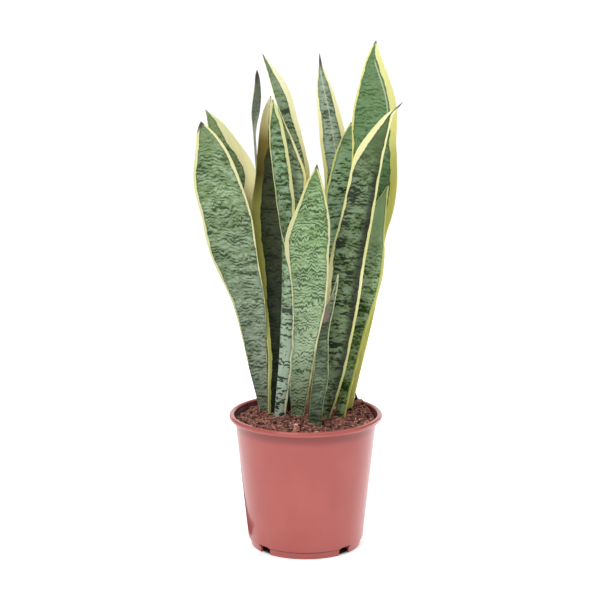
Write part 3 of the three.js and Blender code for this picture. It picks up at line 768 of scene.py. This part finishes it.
def leaf_skin(name, seed, upper, lower, dark, pale, margin, pitch=4.6, wavy=3.0, lines=1.0,
              dashes=1.0, clusters=1.0, strength=0.85, fade=(0.82, 1.08), turns=(0.12, 0.8),
              deep=None, spike=7, spike_side=0, crease=None, rail=None, scar=None):
    """The skin of one leaf. upper and lower are its ground green near the tip and the foot,
    which it turns between those shares of its height; dark and pale are the greens of its
    bands, strongest up to fade. margin lists its creams by height. The side wash is painted
    shade down one side of the channel: from and to so far across, its green and share. The
    two pale lines are painted highlights along folds, so far from the midrib and from the
    right margin; scar is a dry patch: across, to the tip, and its half size."""
    material, tree, shader = new_material(
        f"{name}_skin", IOR=1.42, Coat_Weight=0.12, Coat_Roughness=0.3)

    def measure(title):
        made = node(tree, "ShaderNodeAttribute", attribute_name=title)
        return made.outputs["Fac"]

    across, along, to_tip = measure("across_mm"), measure("along_mm"), measure("to_tip_mm")
    share = measure("height_share")
    seeded = times(tree, measure("front_face"), 5, seed * 7.3)
    shared = {"Across": across, "Along": along, "Seed": seeded}
    bands = node(tree, "ShaderNodeGroup", node_tree=BANDS)
    edges = node(tree, "ShaderNodeGroup", node_tree=MARGIN)
    fibres = node(tree, "ShaderNodeGroup", node_tree=FIBRES)
    for group in (bands, edges, fibres):
        for title, socket in shared.items():
            tree.links.new(socket, group.inputs[title])
    tree.links.new(measure("inset_mm"), edges.inputs["Inset"])
    settings = {"Pitch": pitch, "Wavy": wavy, "Lines": lines, "Dashes": dashes,
                "Clusters": clusters}
    for title, value in settings.items():
        bands.inputs[title].default_value = value
    ground = blended(tree, between(tree, share, *turns), srgb(*lower), srgb(*upper))
    fibre = fibres.outputs["Fibres"]
    worn = times(tree, between(tree, share, fade[1], fade[0]), strength)
    light = times(tree, times(tree, bands.outputs["Pale"], worn), 0.8)
    light = times(tree, between(tree, fibre, 0.5, 0.8), 0.12, light)
    skin = blended(tree, light, ground, srgb(*pale))
    shade = times(tree, bands.outputs["Dark"], worn)
    shade = times(tree, bands.outputs["Broad"], 0.18, shade)
    shade = sums(tree, "MAXIMUM", shade, times(tree, edges.outputs["Border"], 0.45))
    skin = blended(tree, shade, skin, srgb(*dark))
    # Painted shade: a darker wash down one side of the channel, the side turned from the light.
    if deep is not None:
        start, end, green, most = deep
        wash = times(tree, between(tree, across, start, end), most)
        wash = times(tree, wash, between(tree, share, fade[1], fade[0]))
        skin = blended(tree, wash, skin, srgb(*green))
    # Painted highlights: pale lines along the crest of a fold.
    for place, line in (("across_mm", crease), ("inset_mm", rail)):
        if line is not None:
            away = sums(tree, "ABSOLUTE", sums(tree, "SUBTRACT", measure(place), line))
            stripe = between(tree, away, 1.2, 0.3)
            if place == "inset_mm":
                stripe = times(tree, stripe, between(tree, across, 0, 1))
                stripe = times(tree, stripe, between(tree, share, 0.74, 0.82))
            stripe = times(tree, stripe, between(tree, to_tip, 0, 20))
            skin = blended(tree, times(tree, stripe, 0.6), skin, srgb(206, 214, 186))
    cream = graded(tree, share, margin)
    streaked = blended(tree, 0.5, cream, ground)
    rim = blended(tree, times(tree, edges.outputs["Streaks"], 0.7), cream, streaked)
    skin = blended(tree, edges.outputs["Margin"], skin, rim)
    if scar is not None:
        x = sums(tree, "DIVIDE", sums(tree, "SUBTRACT", across, scar[0]), scar[2])
        y = sums(tree, "DIVIDE", sums(tree, "SUBTRACT", to_tip, scar[1]), scar[3])
        gone = sums(tree, "SQRT", times(tree, x, x, times(tree, y, y)))
        gone = times(tree, fibres.outputs["Pores"], 0.8, gone)
        skin = blended(tree, between(tree, gone, 1.6, 1.0), skin, srgb(150, 132, 124))
    dry = times(tree, sums(tree, "SUBTRACT", fibre, 0.5), 6, to_tip)
    dry = times(tree, across, spike_side, dry)
    skin = blended(tree, between(tree, dry, spike, spike * 0.35), skin, srgb(66, 58, 50))
    rough = times(tree, fibres.outputs["Pores"], 0.16, 0.36)
    height = times(tree, fibre, 0.8, fibres.outputs["Pores"])
    height = times(tree, bands.outputs["Dark"], -0.5, height)
    feed(tree, shader, Base_Color=skin, Roughness=rough, Normal=relief(tree, height, 0.00009))
    return material


def snake_leaf(name, seed, left, right, wave=0.45, most=0.42, **skin):
    """One whole leaf in place of its solid: blade, skin, and the body it hangs on."""
    points, faces, measures = blade(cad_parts[name], left, right, seed, wave, most)
    piece = new_piece(f"{name}_blade", points, faces, leaf_skin(name, seed, **skin))
    for title, values in measures.items():
        tinted(piece, title, values)
    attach(piece, "root")
    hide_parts(name)


snake_leaf(
    "leaf_front_left_broad", 1,
    left=[(0, 0), (0.12, 0), (0.3, 2.2), (0.6, 3), (0.9, 3.4), (1, 2)],
    right=[(0, 0), (0.35, 0.4), (0.55, 1.4), (0.7, 2.6), (0.85, 4), (1, 3)],
    upper=(114, 140, 88), lower=(124, 138, 118), dark=(44, 66, 36), pale=(162, 180, 154),
    margin=[(0, (196, 200, 150)), (1, (222, 220, 162))], strength=1.0, spike=8,
    spike_side=0.7)
snake_leaf(
    "leaf_back_left_broad", 2,
    left=[(0, 3), (0.6, 3), (0.85, 1.4), (1, 0.6)],
    right=[(0, 4), (0.5, 8), (0.7, 13), (0.9, 15), (1, 12)],
    upper=(126, 146, 94), lower=(60, 74, 48), dark=(54, 80, 46), pale=(152, 168, 136),
    margin=[(0.2, (84, 84, 46)), (0.62, (196, 184, 126)), (0.76, (246, 236, 178)),
            (1, (226, 226, 170))], pitch=5, spike=2)
snake_leaf(
    "leaf_far_back_narrow", 3,
    left=[(0, 0.8), (1, 0.8)], right=[(0, 0.8), (1, 0.8)],
    upper=(88, 106, 74), lower=(84, 92, 62), dark=(38, 50, 36), pale=(132, 144, 112),
    margin=[(0, (150, 156, 116))], pitch=5, spike=22)
# Painted shade: this leaf's dark greens and the dark middle stops of its margin stand for the
# shadow it lies in behind the leaves in front.
snake_leaf(
    "leaf_left_channelled", 4,
    left=[(0, 4.5), (0.3, 6), (0.41, 9), (0.5, 12), (0.6, 15), (0.7, 15), (0.8, 14), (0.88, 22),
          (1, 20)],
    right=[(0, 1), (0.8, 2), (0.9, 16), (1, 16)], most=0.5,
    upper=(60, 66, 34), lower=(32, 40, 28), dark=(16, 22, 14), pale=(66, 78, 56),
    margin=[(0, (204, 206, 132)), (0.3, (206, 206, 118)), (0.45, (170, 166, 84)),
            (0.66, (166, 162, 84)), (0.76, (96, 84, 36)), (0.86, (138, 118, 58)),
            (0.92, (220, 208, 150)), (1, (244, 238, 204))], pitch=5, spike=1)
# Painted shade: the dark foot green and the dark low stop of the margin, where the leaf stands
# behind others.
snake_leaf(
    "leaf_tall_left", 5,
    left=[(0, 3.5), (0.6, 3.5), (0.8, 2.4), (0.92, 0.4), (1, 0)],
    right=[(0, 4), (0.6, 4), (0.75, 6), (0.88, 8), (1, 8)],
    upper=(124, 148, 104), lower=(44, 56, 34), dark=(42, 62, 36), pale=(156, 174, 146),
    margin=[(0.3, (44, 50, 28)), (0.6, (186, 178, 98)), (0.69, (226, 218, 148)),
            (0.76, (240, 234, 172)), (1, (244, 240, 200))], pitch=5.5, clusters=1.9,
    strength=1.0, turns=(0.2, 0.7), spike=5)
snake_leaf(
    "leaf_left_twisted", 6,
    left=[(0, 0.9), (0.45, 0.9), (0.6, 1.1), (1, 1.6)],
    right=[(0, 0.6), (0.35, 1), (0.5, 3.6), (1, 4.4)],
    upper=(100, 132, 78), lower=(186, 204, 184), dark=(34, 52, 30), pale=(160, 184, 158),
    margin=[(0.3, (212, 214, 170)), (0.8, (206, 208, 142))], pitch=7, wavy=3.4, lines=1.3,
    clusters=1.8, dashes=1.1, strength=1.0, turns=(0, 0.55), spike=4)
snake_leaf(
    "leaf_front_centre", 7,
    left=[(0, 0), (0.5, 0.5), (0.6, 1.8), (0.68, 5), (0.78, 5), (0.9, 2.6), (1, 1.5)],
    right=[(0, 1.4), (0.4, 2), (1, 2.6)],
    upper=(114, 146, 88), lower=(150, 170, 136), dark=(48, 74, 36), pale=(166, 190, 152),
    margin=[(0.4, (200, 200, 146)), (0.65, (196, 194, 150)), (0.9, (204, 204, 138))],
    wavy=4.6, lines=1.8, clusters=0.8, spike=9)
# Painted shade down the right half of this keeled leaf, and a painted highlight along its crest.
snake_leaf(
    "leaf_back_keeled", 8,
    left=[(0, 4), (0.8, 4.4), (0.92, 2), (1, 0.4)],
    right=[(0, 4), (0.6, 6), (0.82, 8), (0.92, 3.5), (1, 0.4)],
    upper=(156, 174, 148), lower=(92, 116, 82), dark=(52, 74, 52), pale=(186, 204, 186),
    margin=[(0.5, (232, 222, 142)), (0.7, (246, 238, 160)), (0.86, (255, 250, 192)),
            (1, (244, 240, 186))], pitch=5.6, clusters=1.4,
    deep=(0, 8, (84, 104, 66), 0.45), spike=24, crease=-1.5)
# Painted shade: the dark green low on this leaf, where it stands behind others; the pale line
# near its right margin is a painted highlight.
snake_leaf(
    "leaf_tallest", 9,
    left=[(0, 2), (0.6, 2), (1, 2.4)], right=[(0, 5), (0.5, 9), (0.9, 8), (1, 5)],
    upper=(102, 134, 86), lower=(52, 72, 40), dark=(58, 88, 48), pale=(126, 158, 112),
    margin=[(0.1, (236, 230, 128)), (0.35, (226, 222, 120)), (0.6, (212, 208, 108)),
            (0.9, (228, 226, 146))], pitch=5, spike=6, rail=-3)
# Painted shade: a dark wash down the right side of this leaf's channel.
snake_leaf(
    "leaf_front_right", 10,
    left=[(0, 0.6), (0.3, 1.6), (0.36, 5), (0.48, 5.5), (0.56, 2.4), (0.78, 3), (0.86, 9),
          (1, 6)],
    right=[(0, 2.4), (0.3, 4.2), (0.6, 4.2), (1, 2.4)],
    upper=(86, 108, 62), lower=(114, 136, 86), dark=(20, 34, 16), pale=(134, 154, 126),
    margin=[(0, (176, 182, 112)), (0.34, (216, 212, 140)), (0.44, (246, 240, 182)),
            (0.54, (214, 212, 140)), (0.9, (232, 230, 170))], pitch=4.8, clusters=1.9,
    dashes=1.4, strength=1.0, fade=(0.7, 0.94), deep=(2, 13, (22, 30, 16), 0.8), spike=12)
snake_leaf(
    "leaf_back_centre", 11,
    left=[(0, 1.4), (1, 2)], right=[(0, 1.4), (1, 2)],
    upper=(134, 166, 116), lower=(52, 66, 46), dark=(32, 48, 30), pale=(154, 180, 150),
    margin=[(0.5, (206, 206, 124))], pitch=5.6, clusters=2.1, dashes=1.4, strength=1.0,
    turns=(0.3, 0.85), spike=3)
snake_leaf(
    "leaf_right_narrow", 12,
    left=[(0, 0.6), (1, 1.2)], right=[(0, 2), (0.4, 4), (0.62, 5), (0.8, 2), (1, 1.4)],
    upper=(166, 196, 142), lower=(146, 178, 96), dark=(50, 78, 38), pale=(200, 220, 196),
    margin=[(0.1, (186, 186, 92)), (0.6, (218, 218, 134))], pitch=5.4, clusters=1.7,
    dashes=1.4, fade=(0.6, 0.9), spike=4)
snake_leaf(
    "leaf_front_small", 13,
    left=[(0, 0.5), (1, 1.2)], right=[(0, 0.7), (0.7, 1), (1, 1.4)], wave=0.2,
    upper=(164, 174, 138), lower=(74, 90, 64), dark=(36, 52, 30), pale=(112, 132, 102),
    margin=[(0.3, (136, 148, 96)), (0.9, (206, 210, 166))], strength=1.0,
    turns=(0.66, 0.85), spike=1, scar=(-2, 47, 5, 9))


# ---- Dry sheath -------------------------------------------------------------------------
# What is left of an old bud scale at the foot of the middle fan: thin, papery and brown,
# with dark veins and a curled, torn edge. It stands in the peat.

def dry_paper():
    """Brown papery tissue with dark lengthwise veins."""
    material, tree, shader = new_material("dry_paper", Specular_IOR_Level=0.3)
    across = node(tree, "ShaderNodeAttribute", attribute_name="across_mm").outputs["Fac"]
    along = node(tree, "ShaderNodeAttribute", attribute_name="along_mm").outputs["Fac"]
    group = node(tree, "ShaderNodeGroup", {"Across": across, "Along": along, "Spacing": 0.7},
                 node_tree=FIBRES)
    veins = between(tree, group.outputs["Fibres"], 0.35, 0.65)
    paper = blended(tree, veins, srgb(84, 58, 40), srgb(158, 128, 96))
    rough = times(tree, group.outputs["Pores"], 0.2, 0.7)
    normal = relief(tree, group.outputs["Fibres"], 0.0002)
    feed(tree, shader, Base_Color=paper, Roughness=rough, Normal=normal)
    return material


bare = [(0, 0), (1, 0)]
sheath_points, sheath_faces, sheath_measures = blade(
    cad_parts["dry_sheath"], bare, bare, seed=21, wave=0.6, rows=50)
sheath = new_piece("dry_sheath_scale", sheath_points, sheath_faces, dry_paper())
for title, values in sheath_measures.items():
    tinted(sheath, title, values)
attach(sheath, "root")
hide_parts("dry_sheath")


# ---- Studio -----------------------------------------------------------------------------
# A plain pale floor, three soft boxes, two reflector cards and a felt strip that only shows
# as a dark reflection. The camera stands two metres off, a little over the plant's top.

def pale_floor(radius=2.2, segments=96):
    """A wide level floor of matt white paper that glows faintly, as if lit from below, with
    a painted shadow under the pot's foot, where it is grey and does not glow.
    """
    foot_inside, foot_outside = 0.056, 0.062
    material, tree, shader = new_material(
        "white_paper", Specular_IOR_Level=0.1, Emission_Strength=0.4)
    place = node(tree, "ShaderNodeTexCoord").outputs["Object"]
    reach = node(tree, "ShaderNodeVectorMath", {0: place}, operation="LENGTH").outputs["Value"]
    lit = between(tree, reach, foot_inside, foot_outside)
    grain = cloud(tree, place, 60, 4)
    paper = blended(tree, grain, srgb(250, 250, 250), srgb(255, 255, 255))
    rough = times(tree, grain, 0.1, 0.85)
    # Painted shadow: under the pot's foot the paper turns grey and gets no glow.
    paper = blended(tree, lit, srgb(120, 100, 96), paper)
    feed(tree, shader, Base_Color=paper, Roughness=rough, Emission_Color=lit)
    turns = [2 * math.pi * i / segments for i in range(segments)]
    rim = [(radius * math.cos(turn), radius * math.sin(turn), -0.0002) for turn in turns]
    return new_piece("floor", rim, [list(range(segments))], material, smooth=False)


def soft_box(name, place, target, width, height, power, seen=True, tint=(1, 1, 1)):
    """A rectangular soft light that looks at a point."""
    lamp = bpy.data.lights.new(name, "AREA")
    lamp.shape = "RECTANGLE"
    lamp.size, lamp.size_y, lamp.energy = width, height, power
    lamp.color = tint
    holder = bpy.data.objects.new(name, lamp)
    holder.location = place
    holder.rotation_euler = (Vector(target) - Vector(place)).to_track_quat("-Z", "Y").to_euler()
    holder.visible_camera = seen
    bpy.context.scene.collection.objects.link(holder)


floor = pale_floor()
soft_box("key_box", (-0.9, -1.7, 1.9), (0, 0, 0.3), 1.2, 1.0, 29)
soft_box("fill_box", (1.7, -1.2, 1.3), (0, 0, 0.3), 1.2, 1.2, 5)
soft_box("top_box", (0, 0.4, 3.2), (0, 0, 0.3), 3.2, 3.2, 80)
soft_box("right_card", (0.62, 0.30, 0.10), (0, 0, 0.06), 0.5, 0.2, 1.2, seen=False,
         tint=(0.86, 0.88, 1))
soft_box("back_card", (0, 1.3, 0.44), (0, 0, 0.2), 1.6, 0.5, 3, seen=False)

flag_look, flag_tree, flag_shader = new_material("black_felt", Roughness=1, Specular_IOR_Level=0)
felt = cloud(flag_tree, node(flag_tree, "ShaderNodeTexCoord").outputs["Object"], 900, 3)
felt = blended(flag_tree, felt, srgb(44, 30, 32), srgb(70, 50, 52))
feed(flag_tree, flag_shader, Base_Color=felt)
flag_corners = [(-0.11, 0, 0.002), (-0.075, 0, 0.002), (-0.075, 0.28, 0.002),
                (-0.15, 0.28, 0.002)]
flag = new_piece("black_flag", flag_corners, [(0, 1, 2, 3)], flag_look, smooth=False)
flag.visible_camera = flag.visible_diffuse = flag.visible_shadow = False

world = bpy.data.worlds.new("studio")
world.use_nodes = True
sky_tree = world.node_tree
backdrop = sky_tree.nodes["Background"]
backdrop.inputs["Color"].default_value = (1, 1, 1, 1)
seen = node(sky_tree, "ShaderNodeLightPath").outputs["Is Camera Ray"]
feed(sky_tree, backdrop, Strength=times(sky_tree, seen, 0.76, 0.34))
bpy.context.scene.world = world
bpy.context.scene.view_settings.view_transform = "Standard"

lens = bpy.data.cameras.new("camera")
lens.lens, lens.sensor_width = 110.35, 36
camera = bpy.data.objects.new("camera", lens)
camera.location = (-0.0064, -2.0, 0.699)
camera.rotation_euler = (math.radians(78.2), 0, 0)
bpy.context.scene.collection.objects.link(camera)
bpy.context.scene.camera = camera
